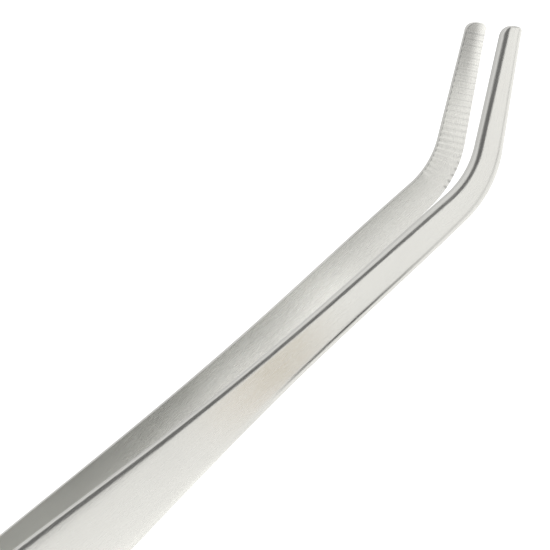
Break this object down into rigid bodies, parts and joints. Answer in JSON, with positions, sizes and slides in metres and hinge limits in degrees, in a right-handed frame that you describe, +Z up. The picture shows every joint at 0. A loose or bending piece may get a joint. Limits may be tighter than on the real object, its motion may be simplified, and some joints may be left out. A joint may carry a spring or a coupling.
{
  "type": "curved aquascaping tweezers",
  "caption": "Long spring tweezers with edgewise-curved serrated jaws, broad flared finger grips and a welded tail, for planting and trimming aquarium plants.",
  "frame": {"origin": "centre of the bounding box, on the plane that the lower long edges of the grips rest on", "axes": "+X from the tail to the tips, +Y from the near leg to the far leg, +Z up, the way the jaws curve"},
  "size_m": [0.25, 0.0206, 0.0213],
  "materials": {
    "leg_steel": "satin, brushed along the leg",
    "weld_steel": "ground and polished weld"
  },
  "bodies": {
    "tail": {"tail_weld": "weld_steel"},
    "near_leg": {"near_leg": "leg_steel"},
    "far_leg": {"far_leg": "leg_steel"}
  },
  "joints": [
    {"name": "near_leg_flex", "type": "hinge", "parent": "tail", "child": "near_leg", "pos_m": [-0.097, 0, 0.0068], "axis": [0, 0, 1], "range_deg": [0, 1.89], "stiffness_Nm_per_rad": 8.3},
    {"name": "far_leg_flex", "type": "hinge", "parent": "tail", "child": "far_leg", "pos_m": [-0.097, 0, 0.0068], "axis": [0, 0, -1], "range_deg": [0, 1.89], "stiffness_Nm_per_rad": 8.3}
  ],
  "couplings": [
    {"joint": "far_leg_flex", "follows": "near_leg_flex", "ratio": 1}
  ]
}
